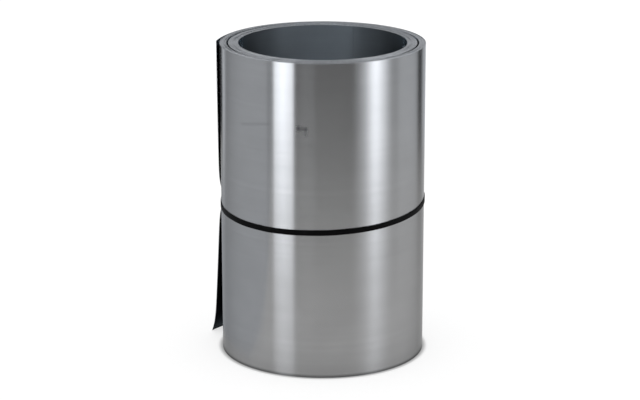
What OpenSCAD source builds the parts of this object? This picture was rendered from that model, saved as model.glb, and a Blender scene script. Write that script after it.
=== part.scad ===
// Coil of thin galvanised sheet that stands on its slit edge, wound round an open bore.
// The strip starts at a small step in the bore and ends in a loose edge outside,
// which springs clear of the roll at both ends. One band round the middle holds it.

/* [Strip] */
// Width of the strip, which is the height of the coil as it stands
strip_w = 254; // [150:1:610]
// Thickness of the sheet
sheet_t = 0.4; // [0.3:0.05:0.8]
// Air between one turn and the next
turn_gap = 0.04; // [0.03:0.01:0.1]
// Bevel that slitting leaves on each edge of the strip
edge_bevel = 0.05; // [0.02:0.01:0.1]
// Depth of the seam that shows between two turns on an end
seam_d = 0.3; // [0.1:0.05:0.6]

/* [Winding] */
// Diameter of the open bore
bore_d = 134; // [80:1:300]
// Full turns between the bore and the slack gap
inner_turns = 19; // [4:1:40]
// Full turns between the slack gap and the last turn
outer_turns = 12; // [3:1:40]
// Width of the slack gap between the two groups of turns
slack_w = 0.8; // [0.3:0.1:3]
// Width that the slack gap closes to at its floor
slack_floor_w = 0.3; // [0.1:0.05:0.3]
// Depth of the slack gap, as far as it can be seen into
slack_d = 12; // [2:1:40]
// Direction of the strip's inner end, counter-clockwise from +X
inner_end_angle = 68; // [0:1:359]

/* [Loose end] */
// Direction where the last turn ends its full circle and the loose end starts
loose_angle = 80; // [0:1:359]
// Length of the loose end along its top edge
loose_len = 140; // [80:1:200]
// How much shorter it is at the foot, where the strip was cut off out of square
cut_slant = 16.4; // [0:0.2:25]
// Radius that it springs open to, as a multiple of the roll's
spring_open = 1.3; // [1.1:0.05:2]
// Length of it that springs clear of the roll at the top
free_top = 45.5; // [12:0.5:80]
// Length that springs clear at the foot
free_foot = 119; // [20:1:130]
// Length that springs clear under the band
free_band = 10; // [2:1:12]

/* [Band] */
// Width of the band
band_w = 4.3; // [2:0.1:20]
// Thickness of the band
band_t = 0.5; // [0.4:0.1:3]
// Radius on the band's corners
band_corner_r = 0.15; // [0.05:0.01:0.18]
// Height of the band's centre above the floor
band_z = 124; // [40:1:140]
// Slope of the band, up to the right in degrees
band_tilt_side = 1.5; // [-4:0.1:4]
// Slope of the band, up to the back in degrees
band_tilt_back = 3; // [-4:0.1:4]
// Clearance between the band and the turn that it crosses
band_clear = 0.12; // [0.05:0.01:0.3]
// How far above and below itself the band holds the loose end flat
band_grip = 3; // [1:0.5:10]

/* [Hidden] */

round_fn = 180;
corner_fn = 24;
bore_r = bore_d / 2;
pitch = sheet_t + turn_gap;
full_turns = inner_turns + outer_turns;
// The strip's first and last turns rise from nothing to one pitch, so they come on top of the full turns
roll_r = bore_r + (full_turns + 1) * pitch + slack_w;

// Radius at the middle of the seam outside full turn i, counted from 0 at the bore
function seam_r(i) = bore_r + (i + 2) * pitch - turn_gap / 2 + (i < inner_turns ? 0 : slack_w);
slack_r = seam_r(inner_turns - 1) + slack_w / 2;
seam_w = turn_gap + 2 * edge_bevel;

// Radius of the sprung sheet, and how far its centre then lies from the roll's
sprung_r = roll_r * spring_open;
sprung_off = sprung_r - roll_r;

// How far the free edge stands off the roll when a length of it has sprung open
function lift_of(free) =
    sqrt(sprung_r * sprung_r + sprung_off * sprung_off
        - 2 * sprung_r * sprung_off * cos(free / sprung_r * 180 / PI)) - roll_r;
lift_band = lift_of(free_band);

// Length of the loose end at height z, and the direction of its free edge where the band crosses it
function len_at(z) = loose_len - cut_slant * (1 - z / strip_w);
edge_angle = loose_angle + len_at(band_z) / roll_r * 180 / PI;

band_tilt = acos(cos(band_tilt_side) * cos(band_tilt_back));
band_allow = band_clear + roll_r * (1 / cos(band_tilt) - 1) + band_w / 2 * sin(band_tilt);
band_in_r = roll_r + pitch + lift_band / 2 + band_allow;

// The band holds the loose end flat at its waist, which is where it crosses the free edge
band_slope_x = tan(band_tilt_side);
band_slope_y = tan(band_tilt_back) / cos(band_tilt_side);
waist_z = band_z + roll_r * (band_slope_x * cos(edge_angle) + band_slope_y * sin(edge_angle));
waist_half = band_w / 2 + band_grip;
foot_len = waist_z - waist_half;
head_len = strip_w - waist_z - waist_half;

// The loose end is a grid of spans along the strip and levels up its width, none of them in the waist
station_step = 3.2;
root_len = 3.2;
spans = ceil((loose_len + root_len) / station_step);
foot_rises = 12;
head_rises = 8;
levels = concat(
    [for (j = [0 : foot_rises]) foot_len * (1 - cos(180 * j / foot_rises)) / 2],
    [for (j = [0 : head_rises]) strip_w - head_len * cos(90 * j / head_rises)]
);

// Length that springs clear at height z: it opens at once beside the band, then evenly toward the foot,
// and curls out more at the foot's corner
snap_share = 0.31;
curl_share = 0.2;
function grow_up(u) = 1 - pow(1 - u, 24);
function grow_down(u) = snap_share * grow_up(u) + (1 - snap_share - curl_share) * u + curl_share * pow(u, 12);
function free_len(z) = z > waist_z
    ? free_band + (free_top - free_band) * grow_up(1 - (strip_w - z) / head_len)
    : free_band + (free_foot - free_band) * grow_down(1 - z / foot_len);

// Point of a sheet that lies on a circle of radius r and then leaves it on its own wider arc:
// s is the length along the strip from the loose end's root, out the distance off the sheet's inner face
function leave_point(r, s, z, out) =
    let (
        on = min(s, max(0, len_at(z) - free_len(z))),
        a = loose_angle + on / r * 180 / PI,
        b = a + (s - on) / sprung_r * 180 / PI
    )
    [(r - sprung_r) * cos(a) + (sprung_r + out) * cos(b), (r - sprung_r) * sin(a) + (sprung_r + out) * sin(b)];

// Half of a disc, on the +Y side of its centre
module half_disc(r) {
    intersection() {
        circle(r, $fn = round_fn);
        translate([-2 * r, 0])
            square([4 * r, 2 * r]);
    }
}

// Disc whose edge steps out by one pitch at angle a: two half circles with their centres half a pitch apart
module spiral_disc(r, a) {
    rotate(a)
        union() {
            half_disc(r);
            translate([pitch / 2, 0])
                mirror([0, 1])
                    half_disc(r + pitch / 2);
        }
}

// The wound turns as one wall, with the strip's inner end in the bore and its last turn outside
module wound_wall() {
    linear_extrude(strip_w)
        difference() {
            spiral_disc(roll_r, loose_angle);
            spiral_disc(bore_r, inner_end_angle);
        }
}

// Half sections of the seams between turns, cut down into an end face at height 0
module seam_sections() {
    for (i = [0 : full_turns - 2])
        if (i != inner_turns - 1)
            translate([seam_r(i), 0])
                polygon([[-seam_w, seam_d], [0, -seam_d], [seam_w, seam_d]]);
    translate([slack_r, 0])
        polygon([
            [-slack_w / 2, seam_d],
            [-slack_floor_w / 2, -slack_d],
            [slack_floor_w / 2, -slack_d],
            [slack_w / 2, seam_d]
        ]);
}

module end_seams() {
    translate([0, 0, strip_w])
        rotate_extrude($fn = round_fn)
            seam_sections();
    mirror([0, 0, 1])
        rotate_extrude($fn = round_fn)
            seam_sections();
}

// The loose end, one sheet thick, with its root inside the end of the last turn
module loose_end() {
    rows = len(levels);
    cols = spans + 1;
    top = rows - 1;
    edge = cols - 1;
    inner_r = roll_r + turn_gap / 2;
    pts = [
        for (out = [0, sheet_t], i = [0 : edge], z = levels)
            concat(leave_point(inner_r, (len_at(z) + root_len) * i / spans - root_len, z, out), z)
    ];
    function at(side, i, j) = (side * cols + i) * rows + j;
    inner_face = [for (i = [0 : edge - 1], j = [0 : top - 1])
        [at(0, i, j), at(0, i + 1, j), at(0, i + 1, j + 1), at(0, i, j + 1)]];
    outer_face = [for (i = [0 : edge - 1], j = [0 : top - 1])
        [at(1, i, j + 1), at(1, i + 1, j + 1), at(1, i + 1, j), at(1, i, j)]];
    foot_edge = [for (i = [0 : edge - 1])
        [at(1, i, 0), at(1, i + 1, 0), at(0, i + 1, 0), at(0, i, 0)]];
    top_edge = [for (i = [0 : edge - 1])
        [at(0, i, top), at(0, i + 1, top), at(1, i + 1, top), at(1, i, top)]];
    root = [for (j = [0 : top - 1])
        [at(0, 0, j), at(0, 0, j + 1), at(1, 0, j + 1), at(1, 0, j)]];
    free_edge = [for (j = [0 : top - 1])
        [at(0, edge, j + 1), at(0, edge, j), at(1, edge, j), at(1, edge, j + 1)]];
    polyhedron(pts, concat(inner_face, outer_face, foot_edge, top_edge, root, free_edge));
}

module sheet_coil() {
    color([0.57, 0.575, 0.58])
        union() {
            difference() {
                wound_wall();
                end_seams();
            }
            loose_end();
        }
}

// Half section of the band, a flat strip with rounded corners
module band_section() {
    translate([band_corner_r, -band_w / 2])
        square([band_t - 2 * band_corner_r, band_w]);
    translate([0, band_corner_r - band_w / 2])
        square([band_t, band_w - 2 * band_corner_r]);
    for (x = [band_corner_r, band_t - band_corner_r], side = [-1, 1])
        translate([x, side * (band_w / 2 - band_corner_r)])
            circle(band_corner_r, $fn = corner_fn);
}

// The band lies a little off the roll's centre, because it passes over the loose end
module band() {
    color([0.06, 0.06, 0.06])
        translate([lift_band / 2 * cos(edge_angle), lift_band / 2 * sin(edge_angle), band_z])
            rotate([band_tilt_back, -band_tilt_side, 0])
                rotate_extrude($fn = round_fn)
                    translate([band_in_r, 0])
                        band_section();
}

sheet_coil();
band();
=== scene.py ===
import bmesh
import bpy
import math
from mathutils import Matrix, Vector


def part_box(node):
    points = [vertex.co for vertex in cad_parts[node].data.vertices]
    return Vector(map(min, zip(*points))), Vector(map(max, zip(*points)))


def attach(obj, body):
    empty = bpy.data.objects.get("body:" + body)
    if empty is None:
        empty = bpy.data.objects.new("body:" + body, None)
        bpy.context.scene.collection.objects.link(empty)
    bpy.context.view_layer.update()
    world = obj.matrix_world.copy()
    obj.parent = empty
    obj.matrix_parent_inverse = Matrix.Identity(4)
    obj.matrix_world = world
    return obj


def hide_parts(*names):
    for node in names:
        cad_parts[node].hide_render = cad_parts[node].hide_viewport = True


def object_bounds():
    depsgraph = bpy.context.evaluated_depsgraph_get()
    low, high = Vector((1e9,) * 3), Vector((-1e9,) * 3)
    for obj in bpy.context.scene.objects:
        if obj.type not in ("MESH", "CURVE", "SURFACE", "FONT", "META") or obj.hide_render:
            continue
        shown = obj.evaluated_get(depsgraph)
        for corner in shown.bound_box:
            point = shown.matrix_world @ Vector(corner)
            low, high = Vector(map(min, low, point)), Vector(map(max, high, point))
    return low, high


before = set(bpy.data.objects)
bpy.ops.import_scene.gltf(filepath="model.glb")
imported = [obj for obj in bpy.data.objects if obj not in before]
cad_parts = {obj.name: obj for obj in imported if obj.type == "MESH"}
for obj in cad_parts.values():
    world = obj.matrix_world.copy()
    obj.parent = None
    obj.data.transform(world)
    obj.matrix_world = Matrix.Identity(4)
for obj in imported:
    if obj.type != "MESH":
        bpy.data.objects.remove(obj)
cad_low, cad_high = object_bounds()


# The camera stands in front of the coil and looks down on it by about 16 degrees, through a long lens.
# The bore's axis lies a little right of the middle of the picture.
eye_left = 0.00205
eye_back = 1.801
eye_height = 0.6357
eye_pitch = math.radians(15.89)
lens_mm = 130.0
film_width_mm = 36.0
camera = bpy.data.objects.new("camera", bpy.data.cameras.new("camera"))
camera.data.sensor_width = film_width_mm
camera.data.lens = lens_mm
camera.location = (-eye_left, -eye_back, eye_height)
camera.rotation_euler = (math.radians(90) - eye_pitch, 0, 0)
bpy.context.scene.collection.objects.link(camera)
bpy.context.scene.camera = camera
bpy.context.scene.view_settings.view_transform = "Standard"


# The sheet coil is one strip of thin galvanised steel, slit to width and wound tight on a mandrel
# that was then drawn out. Nothing joins its turns. Its outer end springs away from the roll
# above and below the band.
strip_width = cad_high.z - cad_low.z
sheet_thick = 0.0004
edge_radius = 0.00006
bore_radius = 0.067
full_turns = 31

# The strip's inner end lies at this angle. Angles are counted from the right toward the back.
inner_end_deg = 68

# The slack between the inner and the outer turns, the air that it draws out from between the others,
# the turn that it lies on, and the share of a turn that it takes to open
slack_width = 0.0008
slack_drawn = 0.0006
slack_turn = 19.06
slack_span = 0.25

# The loose end starts at this angle. Its free edge is cut a little out of square, and these lengths
# of it spring clear at the top, at the foot and under the band.
loose_deg = 80
loose_length = 0.14
cut_slant = 0.0164
spring_open = 1.3
free_top = 0.0455
free_foot = 0.119
free_band = 0.01

# Some of the spring comes at once beside the band, and below it some comes only at the foot's corner
snap_share = 0.31
snap_power = 24
curl_share = 0.2
curl_power = 12

# The slit edges wander up and down a little from turn to turn
edge_drift = 0.00016
drift_scale = 0.9
drift_detail = 3.0
drift_noise_reach = 0.25

# The strip's length is told in turns from its inner end in the bore. The loose end and a little more
# than the turn under it are cut into levels.
lap_turns = 1.06
turns_to_loose = full_turns + 1 + (loose_deg - inner_end_deg) / 360
turns_to_right = turns_to_loose - loose_deg / 360
roll_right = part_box("sheet_coil")[1].x
turn_pitch = (roll_right - bore_radius - sheet_thick - slack_width) / turns_to_right
roll_radius = bore_radius + slack_width + turns_to_loose * turn_pitch
roll_girth = 2 * math.pi * roll_radius
sprung_radius = roll_radius * spring_open
turns_in_all = turns_to_loose + loose_length / roll_girth
turns_under_lap = turns_to_loose - lap_turns

# The band crosses the free edge at this height, and holds the loose end flat a little above and below it
band_height = 0.124
band_width = 0.0043
band_hold = 0.003
band_rise_right_deg = 1.5
band_rise_back_deg = 3.0
band_slope_right = math.tan(math.radians(band_rise_right_deg))
band_slope_back = math.tan(math.radians(band_rise_back_deg))
turns_at_band = turns_in_all - cut_slant * (1 - band_height / strip_width) / roll_girth
edge_angle = math.radians(loose_deg) + 2 * math.pi * (turns_at_band - turns_to_loose)
waist_height = band_height + roll_radius * (
    band_slope_right * math.cos(edge_angle) + band_slope_back * math.sin(edge_angle))
waist_half = band_width / 2 + band_hold


def put(tree, kind, feeds=None, **settings):
    """Adds a node, sets it up, and links or sets each input that feeds names by its name or place."""
    made = tree.nodes.new(kind)
    for name, value in settings.items():
        setattr(made, name, value)
    for name, value in (feeds or {}).items():
        if isinstance(value, bpy.types.NodeSocket):
            tree.links.new(value, made.inputs[name])
        else:
            made.inputs[name].default_value = value
    return made


def sums(tree, operation, *values):
    """The result of one step of arithmetic."""
    return put(tree, "ShaderNodeMath", dict(enumerate(values)), operation=operation).outputs[0]


def spread(tree, value, low, high, to_low=0.0, to_high=1.0, ramp="LINEAR"):
    """The value carried from one range to another, and held at that range's ends."""
    feeds = {"Value": value, "From Min": low, "From Max": high, "To Min": to_low, "To Max": to_high}
    return put(tree, "ShaderNodeMapRange", feeds, interpolation_type=ramp).outputs["Result"]


def swing(tree, noise, reach=0.2):
    """Noise, which mostly lies within this reach of a half, carried to between -1 and 1."""
    return spread(tree, noise, 0.5 - reach, 0.5 + reach, -1, 1)


def triple(tree, x, y, z=0.0):
    """Three values as one vector."""
    return put(tree, "ShaderNodeCombineXYZ", {"X": x, "Y": y, "Z": z}).outputs[0]


def new_tree(name, sizes, counts):
    """A geometry tree with an input for each size, each count and its finish, and what it is given there."""
    made = bpy.data.node_groups.new(name, "GeometryNodeTree")
    kinds = {"Geometry": "NodeSocketGeometry", "Finish": "NodeSocketMaterial"}
    kinds.update({size_name: "NodeSocketFloat" for size_name in sizes})
    kinds.update({count_name: "NodeSocketInt" for count_name in counts})
    for socket_name, kind in kinds.items():
        made.interface.new_socket(socket_name, in_out="INPUT", socket_type=kind)
    made.interface.new_socket("Geometry", in_out="OUTPUT", socket_type="NodeSocketGeometry")
    return made, made.nodes.new("NodeGroupInput").outputs


def hold(tree, geometry, **fields):
    """Captures each field on the points, and gives the geometry and the captured fields."""
    made = tree.nodes.new("GeometryNodeCaptureAttribute")
    for name in fields:
        made.capture_items.new("FLOAT", name)
    tree.links.new(geometry, made.inputs["Geometry"])
    for name, field in fields.items():
        tree.links.new(field, made.inputs[name])
    return made.outputs["Geometry"], [made.outputs[name] for name in fields]


def hold_share(tree, path, steps):
    """Captures how far along its path each point lies, as a share of these steps."""
    place = put(tree, "GeometryNodeInputIndex").outputs[0]
    path, (share,) = hold(tree, path, share=sums(tree, "DIVIDE", place, steps))
    return path, share


def hold_spot(tree, outline):
    """Captures how far out and how far up each point of an outline lies."""
    spot = put(tree, "ShaderNodeSeparateXYZ", {0: put(tree, "GeometryNodeInputPosition").outputs[0]}).outputs
    return hold(tree, outline, out=spot["X"], up=spot["Y"])


def rounded_outline(tree, thickness, width, corner, corner_steps):
    """The outline of a flat strip's section, with rounded corners."""
    outline = put(tree, "GeometryNodeCurvePrimitiveQuadrilateral", {"Width": thickness, "Height": width})
    feeds = {"Curve": outline.outputs[0], "Radius": corner, "Count": corner_steps}
    return put(tree, "GeometryNodeFilletCurve", feeds, mode="POLY").outputs[0]


def sweep(tree, path, outline, closed_ends):
    """An outline swept along a path, with its faces outward."""
    feeds = {"Curve": path, "Profile Curve": outline, "Fill Caps": closed_ends}
    swept = put(tree, "GeometryNodeCurveToMesh", feeds)
    return put(tree, "GeometryNodeFlipFaces", {"Mesh": swept.outputs[0]}).outputs[0]


def lay(tree, mesh, spot, flat_name, flat):
    """Moves each point to its spot, and stores under a name where it lies on the flat piece."""
    laid = put(tree, "GeometryNodeSetPosition", {"Geometry": mesh, "Position": spot})
    feeds = {"Geometry": laid.outputs[0], "Name": flat_name, "Value": flat}
    return put(tree, "GeometryNodeStoreNamedAttribute", feeds,
               data_type="FLOAT_VECTOR", domain="POINT").outputs[0]


def smoothed(tree, mesh):
    """The mesh with smooth faces."""
    feeds = {"Geometry": mesh, "Shade Smooth": True}
    return put(tree, "GeometryNodeSetShadeSmooth", feeds, domain="FACE").outputs[0]


def close_tree(tree, mesh, finish):
    """Ends a tree with its mesh made real and in its finish."""
    real = put(tree, "GeometryNodeRealizeInstances", {"Geometry": mesh})
    finished = put(tree, "GeometryNodeSetMaterial", {"Geometry": real.outputs[0], "Material": finish})
    put(tree, "NodeGroupOutput", {0: finished.outputs[0]})


strip_sizes = {
    "Strip Width": strip_width - 2 * edge_drift,
    "Sheet Thickness": sheet_thick,
    "Edge Radius": edge_radius,
    "Edge Drift": edge_drift,
    "Bore Radius": bore_radius,
    "Turn Pitch": turn_pitch,
    "Slack Width": slack_width,
    "Slack Drawn": slack_drawn,
    "Slack Turn": slack_turn,
    "Slack Span": slack_span,
    "Inner End": math.radians(inner_end_deg),
    "Under Lap": turns_under_lap,
    "Turns To Loose": turns_to_loose,
    "Turns In All": turns_in_all,
    "Roll Girth": roll_girth,
    "Cut Slant": cut_slant,
    "Sprung Radius": sprung_radius,
    "Free Top": free_top,
    "Free Foot": free_foot,
    "Free Band": free_band,
    "Snap Share": snap_share,
    "Curl Share": curl_share,
    "Waist Height": waist_height,
    "Waist Half": waist_half,
}
strip_counts = {"Steps A Turn": 200, "Levels": 47, "Seed": 7}
strip_tree, given = new_tree("wind the strip", strip_sizes, strip_counts)


def run_of_strip(start, end, cuts):
    """One closed length of the strip, from turn start to turn end, with its faces cut into levels."""
    tree = strip_tree
    steps = sums(tree, "MULTIPLY", sums(tree, "SUBTRACT", end, start), given["Steps A Turn"])
    steps = sums(tree, "ROUND", steps)
    line = put(tree, "GeometryNodeCurvePrimitiveLine")
    points = sums(tree, "ADD", steps, 1)
    path = put(tree, "GeometryNodeResampleCurve", {"Curve": line.outputs[0], "Count": points})
    path, share = hold_share(tree, path.outputs[0], steps)

    # The outline has eight points, and what follows the fourth and the eighth is a face of the sheet
    outline = rounded_outline(tree, given["Sheet Thickness"], given["Strip Width"],
                              given["Edge Radius"], corner_steps=1)
    place = put(tree, "GeometryNodeInputIndex").outputs[0]
    is_face = sums(tree, "COMPARE", sums(tree, "MODULO", place, 4), 3, 0.5)
    outline = put(tree, "GeometryNodeSubdivideCurve",
                  {"Curve": outline, "Cuts": sums(tree, "MULTIPLY", is_face, cuts)})
    outline, (out, up) = hold_spot(tree, outline.outputs[0])
    sheet = sweep(tree, path, outline, closed_ends=True)

    # The levels lie closer together at the waist and at both edges of the strip
    level = sums(tree, "ADD", sums(tree, "DIVIDE", up, given["Strip Width"]), 0.5)
    waist_level = sums(tree, "DIVIDE", given["Waist Height"], given["Strip Width"])
    foot_part = sums(tree, "COSINE", spread(tree, level, 0, waist_level, 0, math.pi))
    head_part = sums(tree, "COSINE", spread(tree, level, waist_level, 1, 0, math.pi))
    height = spread(tree, foot_part, 1, -1, given["Edge Drift"], given["Waist Height"])
    head_width = sums(tree, "SUBTRACT", given["Strip Width"], given["Waist Height"])
    height = sums(tree, "ADD", height, spread(tree, head_part, 1, -1, 0, head_width))

    # The free edge is cut a little out of square, so the strip ends sooner at its foot
    from_top = sums(tree, "SUBTRACT", 1, sums(tree, "DIVIDE", height, given["Strip Width"]))
    slant = sums(tree, "MULTIPLY", from_top, sums(tree, "DIVIDE", given["Cut Slant"], given["Roll Girth"]))
    last = sums(tree, "SUBTRACT", given["Turns In All"], slant)
    real_end = sums(tree, "MINIMUM", end, last)
    turn = sums(tree, "MULTIPLY_ADD", share, sums(tree, "SUBTRACT", real_end, start), start)

    # The length that springs clear grows at once beside the band, then evenly, and most at the foot's corner
    waist_top = sums(tree, "ADD", given["Waist Height"], given["Waist Half"])
    waist_foot = sums(tree, "SUBTRACT", given["Waist Height"], given["Waist Half"])
    above = spread(tree, height, waist_top, given["Strip Width"])
    below = spread(tree, height, waist_foot, 0)
    still_above = sums(tree, "POWER", sums(tree, "SUBTRACT", 1, above), snap_power)
    still_below = sums(tree, "POWER", sums(tree, "SUBTRACT", 1, below), snap_power)
    snap_above = sums(tree, "SUBTRACT", 1, still_above)
    snap_below = sums(tree, "SUBTRACT", 1, still_below)
    curl = sums(tree, "MULTIPLY", sums(tree, "POWER", below, curl_power), given["Curl Share"])
    steady = sums(tree, "SUBTRACT", sums(tree, "SUBTRACT", 1, given["Snap Share"]), given["Curl Share"])
    open_below = sums(tree, "MULTIPLY_ADD", snap_below, given["Snap Share"], curl)
    open_below = sums(tree, "MULTIPLY_ADD", below, steady, open_below)
    more_at_top = sums(tree, "SUBTRACT", given["Free Top"], given["Free Band"])
    more_at_foot = sums(tree, "SUBTRACT", given["Free Foot"], given["Free Band"])
    free = sums(tree, "MULTIPLY_ADD", snap_above, more_at_top, given["Free Band"])
    free = sums(tree, "MULTIPLY_ADD", open_below, more_at_foot, free)
    leaves = sums(tree, "SUBTRACT", last, sums(tree, "DIVIDE", free, given["Roll Girth"]))
    wound = sums(tree, "MINIMUM", turn, leaves)
    ahead = sums(tree, "MULTIPLY", sums(tree, "SUBTRACT", turn, wound), given["Roll Girth"])

    # At the left and right the slack gathers in one gap, with some air drawn out from between the other
    # turns, and at the front and back the inner turns share it
    angle = sums(tree, "MULTIPLY_ADD", wound, 2 * math.pi, given["Inner End"])
    half_span = sums(tree, "MULTIPLY", given["Slack Span"], 0.5)
    gap_starts = sums(tree, "SUBTRACT", given["Slack Turn"], half_span)
    gap_full = sums(tree, "ADD", given["Slack Turn"], half_span)
    gathered = spread(tree, wound, gap_starts, gap_full, ramp="SMOOTHSTEP")
    gathered = sums(tree, "MULTIPLY", gathered, sums(tree, "ADD", given["Slack Width"], given["Slack Drawn"]))
    drawn_out = spread(tree, wound, 0, given["Turns To Loose"], 0.0, given["Slack Drawn"])
    gathered = sums(tree, "SUBTRACT", gathered, drawn_out)
    shared = spread(tree, wound, 0, given["Slack Turn"], 0.0, given["Slack Width"])
    sideways = sums(tree, "POWER", sums(tree, "COSINE", angle), 2)
    slack = sums(tree, "MULTIPLY_ADD", sideways, sums(tree, "SUBTRACT", gathered, shared), shared)

    # A wound point lies on the spiral, and a free one on the wider arc that the sheet springs open to
    radius = sums(tree, "MULTIPLY_ADD", wound, given["Turn Pitch"], given["Bore Radius"])
    radius = sums(tree, "ADD", radius, sums(tree, "MULTIPLY_ADD", given["Sheet Thickness"], 0.5, slack))
    sprung = sums(tree, "MULTIPLY_ADD", given["Sheet Thickness"], 0.5, given["Sprung Radius"])
    inward = sums(tree, "SUBTRACT", radius, sprung)
    outward = sums(tree, "ADD", sprung, out)
    open_angle = sums(tree, "ADD", angle, sums(tree, "DIVIDE", ahead, sprung))
    x = sums(tree, "ADD", sums(tree, "MULTIPLY", inward, sums(tree, "COSINE", angle)),
             sums(tree, "MULTIPLY", outward, sums(tree, "COSINE", open_angle)))
    y = sums(tree, "ADD", sums(tree, "MULTIPLY", inward, sums(tree, "SINE", angle)),
             sums(tree, "MULTIPLY", outward, sums(tree, "SINE", open_angle)))

    # The edges wander with the turn that they are on
    wander_feeds = {"W": sums(tree, "ADD", turn, given["Seed"]), "Scale": drift_scale, "Detail": drift_detail}
    wander = put(tree, "ShaderNodeTexNoise", wander_feeds, noise_dimensions="1D").outputs[0]
    drift = sums(tree, "MULTIPLY", swing(tree, wander, drift_noise_reach), given["Edge Drift"])
    z = sums(tree, "ADD", height, drift)

    # A point's place on the flat strip is told in metres: along it, up it, and out from its middle
    flat = triple(tree, sums(tree, "MULTIPLY", turn, given["Roll Girth"]), height, out)
    return lay(tree, sheet, triple(tree, x, y, z), "strip", flat)


coiled = run_of_strip(0.0, given["Under Lap"], 0)
last_turn = run_of_strip(given["Under Lap"], given["Turns In All"], given["Levels"])
joined = strip_tree.nodes.new("GeometryNodeJoinGeometry")
for run in (last_turn, coiled):
    strip_tree.links.new(run, joined.inputs[0])

# The strip is smooth, but for a crease where it folds by more than this
crease_angle = math.radians(20)
fold = put(strip_tree, "GeometryNodeInputMeshEdgeAngle").outputs["Unsigned Angle"]
is_crease = sums(strip_tree, "GREATER_THAN", fold, crease_angle)
smooth = smoothed(strip_tree, joined.outputs[0])
crease_feeds = {"Geometry": smooth, "Selection": is_crease, "Shade Smooth": False}
creased = put(strip_tree, "GeometryNodeSetShadeSmooth", crease_feeds, domain="EDGE")
close_tree(strip_tree, creased.outputs[0], given["Finish"])


def new_material(name):
    """A material with only its shader and its output."""
    made = bpy.data.materials.new(name)
    made.use_nodes = True
    return made, made.node_tree, made.node_tree.nodes["Principled BSDF"]


def new_effect(name, **inputs):
    """A shader group with these inputs and one value as its output, for effects that more materials use."""
    made = bpy.data.node_groups.new(name, "ShaderNodeTree")
    made.interface.new_socket("Place", in_out="INPUT", socket_type="NodeSocketVector")
    for input_name, value in inputs.items():
        socket = made.interface.new_socket(input_name, in_out="INPUT", socket_type="NodeSocketFloat")
        socket.default_value = value
    made.interface.new_socket("Value", in_out="OUTPUT", socket_type="NodeSocketFloat")
    return made, made.nodes.new("NodeGroupInput").outputs, made.nodes.new("NodeGroupOutput")


def use_effect(tree, effect, **feeds):
    """Places an effect in a material with its own values, and gives its output."""
    return put(tree, "ShaderNodeGroup", feeds, node_tree=effect).outputs["Value"]


def blend(tree, share, first, second):
    """The first colour where the share is 0, and the second where it is 1."""
    return put(tree, "ShaderNodeMix", {0: share, 6: first, 7: second}, data_type="RGBA").outputs[2]


# Soft patches of dullness or bloom, from -1 to 1
soft_patches, patch_in, patch_out = new_effect("soft patches", Scale=20.0, Detail=3.0)
patch_feeds = {"Vector": patch_in["Place"], "Scale": patch_in["Scale"], "Detail": patch_in["Detail"]}
patch_noise = put(soft_patches, "ShaderNodeTexNoise", patch_feeds).outputs[0]
soft_patches.links.new(swing(soft_patches, patch_noise), patch_out.inputs["Value"])

# Fine lines drawn out along the first axis by a roll or a die, from -1 to 1
line_detail = 5.0
drawn_lines, line_in, line_out = new_effect("drawn lines", Along=4.0, Across=1500.0)
line_scale = triple(drawn_lines, line_in["Along"], line_in["Across"], line_in["Along"])
line_place = put(drawn_lines, "ShaderNodeVectorMath", {0: line_in["Place"], 1: line_scale},
                 operation="MULTIPLY").outputs[0]
line_feeds = {"Vector": line_place, "Scale": 1.0, "Detail": line_detail}
line_noise = put(drawn_lines, "ShaderNodeTexNoise", line_feeds).outputs[0]
drawn_lines.links.new(swing(drawn_lines, line_noise), line_out.inputs["Value"])


sheet_steel, steel_tree, steel = new_material("galvanised sheet")
steel_grey = (0.305, 0.305, 0.305, 1.0)
# The darker grey of the sheet's inner side is painted shade
inner_shade_grey = (0.155, 0.173, 0.187, 1.0)
mark_grey = (0.1, 0.1, 0.105, 1.0)
strip_place = put(steel_tree, "ShaderNodeAttribute", attribute_name="strip").outputs["Vector"]
along_strip, up_strip, through_strip = put(steel_tree, "ShaderNodeSeparateXYZ", {0: strip_place}).outputs

# The rolled grain runs along the strip, with soft cloudy patches in the zinc
grain_tone = 0.03
streak_tone = 0.02
cloud_tone = 0.03
grain = use_effect(steel_tree, drawn_lines, Place=strip_place, Along=3.0, Across=1600.0)
streaks = use_effect(steel_tree, drawn_lines, Place=strip_place, Along=1.2, Across=160.0)
clouds = use_effect(steel_tree, soft_patches, Place=strip_place, Scale=34.0, Detail=4.0)
blotches = use_effect(steel_tree, soft_patches, Place=strip_place, Scale=9.0, Detail=2.0)
tone = sums(steel_tree, "MULTIPLY_ADD", grain, grain_tone, 1.0)
tone = sums(steel_tree, "MULTIPLY_ADD", streaks, streak_tone, tone)
tone = sums(steel_tree, "MULTIPLY_ADD", clouds, cloud_tone, tone)

# The inner side of the sheet is painted a darker grey as painted shade, which shows in the bore and behind
# the loose end
inner_shade_starts = -0.3 * sheet_thick
inner_shade_full = -0.45 * sheet_thick
inner_side = spread(steel_tree, through_strip, inner_shade_starts, inner_shade_full)
side_grey = blend(steel_tree, inner_side, steel_grey, inner_shade_grey)

# The sheet's two faces are painted darker at the foot as a painted contact shadow, and a little darker for a
# way above it as fainter painted shade
face_starts = 0.42 * sheet_thick
face_full = 0.48 * sheet_thick
foot_shade_height = 0.0028
foot_shade_tone = -0.38
low_shade_height = 0.024
low_shade_tone = -0.1
on_face = spread(steel_tree, sums(steel_tree, "ABSOLUTE", through_strip), face_starts, face_full)
foot = sums(steel_tree, "MULTIPLY", spread(steel_tree, up_strip, foot_shade_height, foot_shade_height / 3), on_face)
low_shade = sums(steel_tree, "MULTIPLY", spread(steel_tree, up_strip, low_shade_height, low_shade_height / 4), on_face)
tone = sums(steel_tree, "MULTIPLY_ADD", foot, foot_shade_tone, tone)
tone = sums(steel_tree, "MULTIPLY_ADD", low_shade, low_shade_tone, tone)
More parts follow.
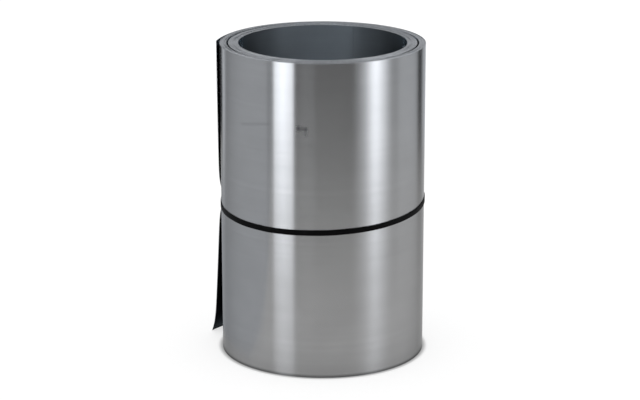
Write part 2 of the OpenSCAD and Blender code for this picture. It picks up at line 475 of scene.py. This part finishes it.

# The slit edges are bare bright steel, but at the left and right the turns beside the slack are painted
# darker, as painted shade of the gap there
edge_tone_bright = 0.55
edge_tone_gap_shade = -0.4
gap_shade_middle = (slack_turn + 0.15) * roll_girth
gap_shade_reach = 4.5 * roll_girth
gap_shade_focus = 6
from_middle = sums(steel_tree, "ABSOLUTE", sums(steel_tree, "SUBTRACT", up_strip, strip_width / 2))
slit_edge = spread(steel_tree, from_middle, strip_width / 2 - 2 * edge_drift, strip_width / 2 - edge_drift)
slit_edge = sums(steel_tree, "MULTIPLY", slit_edge, sums(steel_tree, "SUBTRACT", 1, on_face))
from_slack = sums(steel_tree, "ABSOLUTE", sums(steel_tree, "SUBTRACT", along_strip, gap_shade_middle))
by_slack = spread(steel_tree, from_slack, gap_shade_reach, roll_girth)
level_feeds = {0: put(steel_tree, "ShaderNodeTexCoord").outputs["Object"], 1: (1, 1, 0)}
level_place = put(steel_tree, "ShaderNodeVectorMath", level_feeds, operation="MULTIPLY").outputs[0]
outward = put(steel_tree, "ShaderNodeVectorMath", {0: level_place}, operation="NORMALIZE").outputs[0]
to_right = put(steel_tree, "ShaderNodeSeparateXYZ", {0: outward}).outputs["X"]
sideways = sums(steel_tree, "POWER", to_right, gap_shade_focus)
gap_shade = sums(steel_tree, "MULTIPLY", by_slack, sideways)
edge_tone = spread(steel_tree, gap_shade, 0, 1, edge_tone_bright, edge_tone_gap_shade)
tone = sums(steel_tree, "MULTIPLY_ADD", slit_edge, edge_tone, tone)


def bearing_to_strip(bearing):
    """How far along the strip the outermost turn lies at a bearing, counted from the front to the right."""
    front_deg = 270
    past_loose = (front_deg + bearing - loose_deg) / 360
    return (turns_to_loose - 1 + past_loose) * roll_girth


def rubbed_mark(start, end, width):
    """A soft dark mark on the strip, between two points told by bearing and height."""
    (from_x, from_y), (to_x, to_y) = [(bearing_to_strip(bearing), height) for bearing, height in (start, end)]
    least_length = 1e-6
    length = max(math.hypot(to_x - from_x, to_y - from_y), least_length)
    run_x = (to_x - from_x) / length
    run_y = (to_y - from_y) / length
    across_x = sums(steel_tree, "SUBTRACT", along_strip, from_x)
    across_y = sums(steel_tree, "SUBTRACT", up_strip, from_y)
    forward = sums(steel_tree, "MULTIPLY", across_x, run_x)
    forward = sums(steel_tree, "MULTIPLY_ADD", across_y, run_y, forward)
    forward = sums(steel_tree, "MINIMUM", sums(steel_tree, "MAXIMUM", forward, 0), length)
    off_x = sums(steel_tree, "SUBTRACT", across_x, sums(steel_tree, "MULTIPLY", forward, run_x))
    off_y = sums(steel_tree, "SUBTRACT", across_y, sums(steel_tree, "MULTIPLY", forward, run_y))
    off_squared = sums(steel_tree, "MULTIPLY_ADD", off_x, off_x, sums(steel_tree, "MULTIPLY", off_y, off_y))
    return spread(steel_tree, sums(steel_tree, "SQRT", off_squared), width, 0, 0, 1, "SMOOTHSTEP")


# A scuff of two dots joined by a bar, with a short tail, then a speck and one faint scratch. Each runs
# between two points, told by bearing and height, and has its width and its strength.
dot_left = (-13.1, 0.2026)
dot_right = (-9.2, 0.2021)
tail_end = (-9.2, 0.1975)
speck = (-6.6, 0.1895)
scratch_left = (-50.0, 0.1998)
scratch_right = (-31.0, 0.2040)
marks = [
    (dot_left, dot_left, 0.0036, 0.95),
    (dot_right, dot_right, 0.003, 0.9),
    (dot_left, dot_right, 0.0028, 0.65),
    (dot_right, tail_end, 0.0022, 0.4),
    (speck, speck, 0.0024, 0.14),
    (scratch_left, scratch_right, 0.0024, 0.16),
]
marked = 0.0
for start, end, width, strength in marks:
    mark = sums(steel_tree, "MULTIPLY", rubbed_mark(start, end, width), strength)
    marked = sums(steel_tree, "MAXIMUM", marked, mark)
toned_grey = put(steel_tree, "ShaderNodeVectorMath", {0: side_grey, 3: tone}, operation="SCALE").outputs[0]
steel_tree.links.new(blend(steel_tree, marked, toned_grey, mark_grey), steel.inputs["Base Color"])

# The satin shine is duller on the inner side, on the slit edges and in the scuff
face_rough = 0.25
inner_rough = 0.65
blotch_rough = 0.012
streak_rough = 0.006
edge_rough = 0.12
mark_rough = 0.08
dullness = spread(steel_tree, inner_side, 0, 1, face_rough, inner_rough)
dullness = sums(steel_tree, "MULTIPLY_ADD", blotches, blotch_rough, dullness)
dullness = sums(steel_tree, "MULTIPLY_ADD", streaks, streak_rough, dullness)
dullness = sums(steel_tree, "MULTIPLY_ADD", slit_edge, edge_rough, dullness)
dullness = sums(steel_tree, "MULTIPLY_ADD", marked, mark_rough, dullness)
steel_tree.links.new(dullness, steel.inputs["Roughness"])

# The grain can just be felt
streak_relief = 0.15
grain_relief = 0.1
relief_depth = 0.00001
relief = sums(steel_tree, "MULTIPLY_ADD", streaks, streak_relief,
              sums(steel_tree, "MULTIPLY", grain, grain_relief))
steel_bump = put(steel_tree, "ShaderNodeBump", {"Height": relief, "Distance": relief_depth, "Strength": 1.0})
steel_tree.links.new(steel_bump.outputs["Normal"], steel.inputs["Normal"])

# Seen at a low angle, the bare side shines less than clean steel would, and the inner side hardly at all,
# adding to its painted shade
bare_low_tint = (0.55, 0.55, 0.55, 1.0)
inner_low_tint = (0.0, 0.0, 0.0, 1.0)
side_tint = blend(steel_tree, inner_side, bare_low_tint, inner_low_tint)
steel_tree.links.new(side_tint, steel.inputs["Specular Tint"])

# The shine spreads across the grain, up and down on the strip's faces and out from the bore on its slit edges
quarter_turn = 0.25
steel.inputs["Metallic"].default_value = 1.0
steel.inputs["Anisotropic"].default_value = 1.0
steel.inputs["Anisotropic Rotation"].default_value = quarter_turn
around = put(steel_tree, "ShaderNodeTangent", direction_type="RADIAL", axis="Z").outputs[0]
lie = put(steel_tree, "ShaderNodeMix", {0: slit_edge, 4: around, 5: outward}, data_type="VECTOR").outputs[1]
steel_tree.links.new(lie, steel.inputs["Tangent"])


def grow(name, tree, values):
    """Runs a tree on an empty mesh, with its inputs set by name, and gives the result as a plain piece."""
    seed = bpy.data.objects.new(name + "_seed", bpy.data.meshes.new(name + "_seed"))
    bpy.context.scene.collection.objects.link(seed)
    modifier = seed.modifiers.new(name, "NODES")
    modifier.node_group = tree
    sockets = {s.name: s.identifier for s in tree.interface.items_tree if s.in_out == "INPUT"}
    for value_name, value in values.items():
        modifier[sockets[value_name]] = value
    graph = bpy.context.evaluated_depsgraph_get()
    mesh = bpy.data.meshes.new_from_object(seed.evaluated_get(graph))
    bpy.data.objects.remove(seed)
    piece = bpy.data.objects.new(name, mesh)
    mesh.name = name
    bpy.context.scene.collection.objects.link(piece)
    return piece


sheet_coil = grow("coiled_sheet", strip_tree, {**strip_sizes, **strip_counts, "Finish": sheet_steel})

# The two runs of the strip are joined into one where they meet, without the doubled ends inside it
weld_reach = 1e-7
meeting = turns_under_lap * roll_girth
weld = bmesh.new()
weld.from_mesh(sheet_coil.data)
bmesh.ops.remove_doubles(weld, verts=weld.verts, dist=weld_reach)
flat_place = weld.verts.layers.float_vector["strip"]
doubled_ends = [face for face in weld.faces
                if all(abs(vert[flat_place].x - meeting) < edge_radius for vert in face.verts)]
bmesh.ops.delete(weld, geom=doubled_ends, context="FACES_ONLY")

# The long uncut faces of the first run take in the levels that they meet
open_edges = [edge for edge in weld.edges if edge.is_boundary]
bmesh.ops.holes_fill(weld, edges=open_edges)
uncut = [edge for edge in open_edges if edge.calc_length() > strip_width / 2]
bmesh.ops.dissolve_edges(weld, edges=uncut)
for face in weld.faces:
    face.smooth = True
weld.to_mesh(sheet_coil.data)
weld.free()
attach(sheet_coil, "root")
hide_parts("sheet_coil")


# The band is one flat loop of black rubber, stretched round the middle of the coil by hand.
# It lies on the outer turn, bridges the step at the strip's free edge, and runs a little out of level.
band_thick = 0.0005
band_corner = 0.00016
band_seat = 0.00012
band_unevenness = 0.00018
ripple_scale = 3.0
ripple_detail = 2.0
edge_lift = free_band ** 2 / 2 * (1 / roll_radius - 1 / sprung_radius)
band_sizes = {
    "Band Width": band_width,
    "Band Thickness": band_thick,
    "Corner Radius": band_corner,
    "Seat": band_seat,
    "Height": band_height,
    "Slope Right": band_slope_right,
    "Slope Back": band_slope_back,
    "Edge Angle": edge_angle,
    "Edge Lift": edge_lift,
    "Free Length": free_band,
    "Turn Radius": bore_radius + slack_width + sheet_thick + (turns_at_band - 1) * turn_pitch,
    "Turn Pitch": turn_pitch,
    "Unevenness": band_unevenness,
}
band_counts = {"Steps": 300, "Corner Steps": 3, "Seed": 4}
band_tree, stated = new_tree("stretch the band", band_sizes, band_counts)

loop = put(band_tree, "GeometryNodeCurvePrimitiveCircle", {"Resolution": stated["Steps"]})
loop, loop_share = hold_share(band_tree, loop.outputs[0], stated["Steps"])
band_outline = rounded_outline(band_tree, stated["Band Thickness"], stated["Band Width"],
                               stated["Corner Radius"], stated["Corner Steps"])
band_outline, (band_out, band_up) = hold_spot(band_tree, band_outline)
belt = sweep(band_tree, loop, band_outline, closed_ends=False)

# The turn under the band grows by one pitch on its way round from the free edge, and lifts again near it
gone = sums(band_tree, "MULTIPLY", loop_share, 2 * math.pi)
under = sums(band_tree, "MULTIPLY_ADD", loop_share, stated["Turn Pitch"], stated["Turn Radius"])
to_edge = sums(band_tree, "MULTIPLY", sums(band_tree, "SUBTRACT", 2 * math.pi, gone), stated["Turn Radius"])
lifted = spread(band_tree, to_edge, stated["Free Length"], 0)
lifted = sums(band_tree, "MULTIPLY", sums(band_tree, "MULTIPLY", lifted, lifted), stated["Edge Lift"])
under = sums(band_tree, "ADD", under, lifted)

# The band runs straight off the free edge until it meets the turn below
edge_top = sums(band_tree, "ADD", stated["Turn Radius"], stated["Turn Pitch"])
edge_top = sums(band_tree, "ADD", edge_top, stated["Edge Lift"])
reach = sums(band_tree, "ARCCOSINE", sums(band_tree, "DIVIDE", stated["Turn Radius"], edge_top))
left_to_go = sums(band_tree, "MAXIMUM", sums(band_tree, "SUBTRACT", reach, gone), 0)
bridge = sums(band_tree, "DIVIDE", stated["Turn Radius"], sums(band_tree, "COSINE", left_to_go))
band_radius = sums(band_tree, "ADD", sums(band_tree, "MAXIMUM", under, bridge), stated["Seat"])
band_radius = sums(band_tree, "MULTIPLY_ADD", stated["Band Thickness"], 0.5, band_radius)
band_radius = sums(band_tree, "ADD", band_radius, band_out)

# It slopes up to the right and the back, and ripples a little up and down
band_angle = sums(band_tree, "ADD", gone, stated["Edge Angle"])
cosine = sums(band_tree, "COSINE", band_angle)
sine = sums(band_tree, "SINE", band_angle)
slope = sums(band_tree, "MULTIPLY", cosine, stated["Slope Right"])
slope = sums(band_tree, "MULTIPLY_ADD", sine, stated["Slope Back"], slope)
shifted = put(band_tree, "ShaderNodeVectorMath", {0: triple(band_tree, cosine, sine), 1: stated["Seed"]},
              operation="ADD").outputs[0]
ripple_feeds = {"Vector": shifted, "Scale": ripple_scale, "Detail": ripple_detail}
ripple = put(band_tree, "ShaderNodeTexNoise", ripple_feeds).outputs[0]
ripple = sums(band_tree, "MULTIPLY", swing(band_tree, ripple), stated["Unevenness"])
band_x = sums(band_tree, "MULTIPLY", band_radius, cosine)
band_y = sums(band_tree, "MULTIPLY", band_radius, sine)
band_z = sums(band_tree, "MULTIPLY_ADD", slope, band_radius, stated["Height"])
band_z = sums(band_tree, "ADD", sums(band_tree, "ADD", band_z, ripple), band_up)
band_spot = triple(band_tree, band_x, band_y, band_z)
band_flat = triple(band_tree, sums(band_tree, "MULTIPLY", gone, stated["Turn Radius"]), band_up, band_out)
laid_band = lay(band_tree, belt, band_spot, "belt", band_flat)
close_tree(band_tree, smoothed(band_tree, laid_band), stated["Finish"])

# The rubber is dull black, with a trace of talc in patches and fine lines from the die
black_rubber, rubber_tree, rubber = new_material("black rubber")
rubber_black = (0.0015, 0.0015, 0.0015, 1.0)
talc_grey = (0.008, 0.008, 0.008, 1.0)
talc_starts = 0.1
talc_most = 0.5
rubber_rough = 0.6
talc_rough = 0.2
line_rough = 0.06
line_depth = 0.00002
line_strength = 0.6
rubber_shine = 0.04
belt_place = put(rubber_tree, "ShaderNodeAttribute", attribute_name="belt").outputs["Vector"]
die_lines = use_effect(rubber_tree, drawn_lines, Place=belt_place, Along=8.0, Across=2600.0)
talc = use_effect(rubber_tree, soft_patches, Place=belt_place, Scale=90.0, Detail=4.0)
talc = spread(rubber_tree, talc, talc_starts, 1.0, 0.0, talc_most)
rubber_tree.links.new(blend(rubber_tree, talc, rubber_black, talc_grey), rubber.inputs["Base Color"])
rubber_dullness = sums(rubber_tree, "MULTIPLY_ADD", talc, talc_rough, rubber_rough)
rubber_dullness = sums(rubber_tree, "MULTIPLY_ADD", die_lines, line_rough, rubber_dullness)
rubber_tree.links.new(rubber_dullness, rubber.inputs["Roughness"])
line_bump_feeds = {"Height": die_lines, "Distance": line_depth, "Strength": line_strength}
rubber_bump = put(rubber_tree, "ShaderNodeBump", line_bump_feeds)
rubber_tree.links.new(rubber_bump.outputs["Normal"], rubber.inputs["Normal"])
rubber.inputs["Specular IOR Level"].default_value = rubber_shine
band = grow("rubber_band", band_tree, {**band_sizes, **band_counts, "Finish": black_rubber})
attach(band, "root")
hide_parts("band")


# The studio is a plain white floor that runs out to a white ground. Both look white to the eye and in
# the metal, and the light that they give the coil is set apart from that.
def white_stage(tree, as_light, as_seen):
    """The white ground's strength: one for what lights the coil, one for what the eye and the metal see."""
    path = put(tree, "ShaderNodeLightPath")
    seen = sums(tree, "MAXIMUM", path.outputs["Is Camera Ray"], path.outputs["Is Glossy Ray"])
    seen = sums(tree, "MAXIMUM", seen, path.outputs["Is Transmission Ray"])
    return spread(tree, seen, 0, 1, as_light, as_seen)


pure_white = (1, 1, 1, 1)
world = bpy.data.worlds.new("studio")
world.use_nodes = True
bpy.context.scene.world = world
sky = world.node_tree.nodes["Background"]
sky.inputs["Color"].default_value = pure_white
fill_light = 1.0
world.node_tree.links.new(white_stage(world.node_tree, fill_light, 1.0), sky.inputs["Strength"])

floor_grey = (0.4, 0.4, 0.4, 1)
floor_glow = 0.665
floor_mat, floor_tree, floor_shader = new_material("white floor")
floor_shader.inputs["Base Color"].default_value = floor_grey
floor_shader.inputs["Roughness"].default_value = 1.0
floor_shader.inputs["Specular IOR Level"].default_value = 0.0
floor_shader.inputs["Emission Color"].default_value = pure_white

# The ground glows white, but for the shade inside the bore and close round the foot
shade_width = 0.005
shade_glow = 0.2
floor_spot = put(floor_tree, "ShaderNodeTexCoord").outputs["Object"]
from_axis = put(floor_tree, "ShaderNodeVectorMath", {0: floor_spot}, operation="LENGTH").outputs["Value"]
shade_end = roll_radius + shade_width
open_ground = spread(floor_tree, from_axis, roll_radius, shade_end, shade_glow, 1, "SMOOTHSTEP")
ground_glow = sums(floor_tree, "MULTIPLY", open_ground, white_stage(floor_tree, 0.0, floor_glow))
floor_tree.links.new(ground_glow, floor_shader.inputs["Emission Strength"])
floor_half = 6.0
floor_mesh = bpy.data.meshes.new("floor")
floor_corners = [(-floor_half, -floor_half, 0), (floor_half, -floor_half, 0),
                 (floor_half, floor_half, 0), (-floor_half, floor_half, 0)]
floor_mesh.from_pydata(floor_corners, [], [(0, 1, 2, 3)])
floor_mesh.materials.append(floor_mat)
floor = bpy.data.objects.new("floor", floor_mesh)
bpy.context.scene.collection.objects.link(floor)


# Four rings of bright, grey and black cards stand one above another round the coil, for its metal to show.
# The camera doesn't see them, and they cast no shadow. A ring's glow changes with the bearing in degrees,
# where 0 is toward the camera and more is to the right.
ring_distance = 0.6
ring_tint = (0.96, 1.0, 1.06, 1.0)
card_mat = bpy.data.materials.new("cards")
card_mat.use_nodes = True
card_mat.node_tree.nodes.clear()
card_level = put(card_mat.node_tree, "ShaderNodeAttribute", attribute_name="glow").outputs["Fac"]
card_shine = put(card_mat.node_tree, "ShaderNodeEmission", {"Color": ring_tint, "Strength": card_level})
put(card_mat.node_tree, "ShaderNodeOutputMaterial", {"Surface": card_shine.outputs[0]})


def glow_at(marks, bearing):
    """The glow at a bearing, straight between the two nearest marks."""
    for (left, left_glow), (right, right_glow) in zip(marks, marks[1:]):
        if left <= bearing <= right:
            return left_glow + (right_glow - left_glow) * (bearing - left) / (right - left)
    return 0.0


def set_card(name, first, last, marks):
    """A card bent round the coil from the first circle to the last, each told by its radius and height."""
    points = []
    levels = []
    bearings = range(marks[0][0], marks[-1][0] + 1)
    for bearing in bearings:
        turned = math.radians(bearing)
        for radius, height in (first, last):
            points.append((math.sin(turned) * radius, -math.cos(turned) * radius, height))
            levels.append(glow_at(marks, bearing))
    faces = [(2 * i, 2 * i + 2, 2 * i + 3, 2 * i + 1) for i in range(len(bearings) - 1)]
    mesh = bpy.data.meshes.new(name)
    mesh.from_pydata(points, [], faces)
    mesh.attributes.new("glow", "FLOAT", "POINT").data.foreach_set("value", levels)
    mesh.materials.append(card_mat)
    card = bpy.data.objects.new(name, mesh)
    bpy.context.scene.collection.objects.link(card)
    card.visible_camera = False
    card.visible_shadow = False
    card.visible_diffuse = False


# The low ring has a broad bright panel at the front left, a softer one at the front right, black cards
# beside them, and dark cards at the back that draw the coil's outline
low_glow = [
    (-180, 0.02), (-147, 0.02), (-143, 1.2), (-138, 2.1), (-133, 0.9), (-128, 0.65), (-115, 0.8),
    (-100, 0.88), (-61, 0.88), (-59, 0.55), (-53, 0.55), (-51, 3.6), (-42, 4.85), (-31, 3.4), (-29, 0.02),
    (-24, 0.02), (-22, 0.18), (-10, 0.18), (-7, 0.0), (30, 0.0), (34, 0.25), (39, 0.75), (45, 1.55),
    (50, 2.95), (54, 4.1), (58, 4.3), (67, 2.5), (73, 1.3), (78, 0.75), (84, 0.7), (90, 1.0),
    (112, 1.1), (121, 1.0), (128, 0.08), (136, 0.08), (142, 1.2), (164, 1.2), (168, 0.1), (180, 0.1),
]

# The middle ring goes on from it at the front and the sides, and is bright at the back, for the slit edges
front_end = 115
middle_glow = [(-180, 1.5), (-160, 1.5), (-150, 0.8)]
middle_glow += [mark for mark in low_glow if abs(mark[0]) < front_end]
middle_glow += [(150, 0.8), (160, 1.5), (180, 1.5)]

# The upper ring has two bright panels at the back, for the slit edges, and lights the sides of the bore
upper_glow = [
    (-180, 1.7), (-173, 1.7), (-168, 4.0), (-155, 4.0), (-148, 0.03), (-112, 0.03), (-98, 0.9),
    (-60, 0.7), (-50, 0.03), (45, 0.03), (58, 0.7), (110, 1.1), (117, 0.03), (148, 0.03), (155, 4.0),
    (168, 4.0), (173, 1.7), (180, 1.7),
]

# The high ring lights the back of the bore from the front
high_glow = [
    (-180, 0.02), (-118, 0.02), (-108, 1.5), (-62, 1.6), (-44, 8.8),
    (44, 8.8), (62, 2.0), (100, 1.8), (112, 0.02), (180, 0.02),
]
ring_edges = (0.03, 0.34, 0.5, 0.95, 1.6)
rings = {"low_ring": low_glow, "middle_ring": middle_glow, "upper_ring": upper_glow, "high_ring": high_glow}
for (name, marks), low, high in zip(rings.items(), ring_edges, ring_edges[1:]):
    set_card(name, (ring_distance, low), (ring_distance, high), marks)

# A dim card closes the rings above the coil
roof_glow = 0.3
roof_hole = 0.01
roof_height = ring_edges[-1]
set_card("roof_card", (roof_hole, roof_height), (ring_distance, roof_height),
         [(-180, roof_glow), (180, roof_glow)])

# A grey card lies on the floor at the left
floor_card_glow = 0.84
floor_card_near = 0.1
floor_card_height = 0.001
set_card("floor_card", (floor_card_near, floor_card_height), (ring_distance, floor_card_height),
         [(-170, floor_card_glow), (-57, floor_card_glow)])
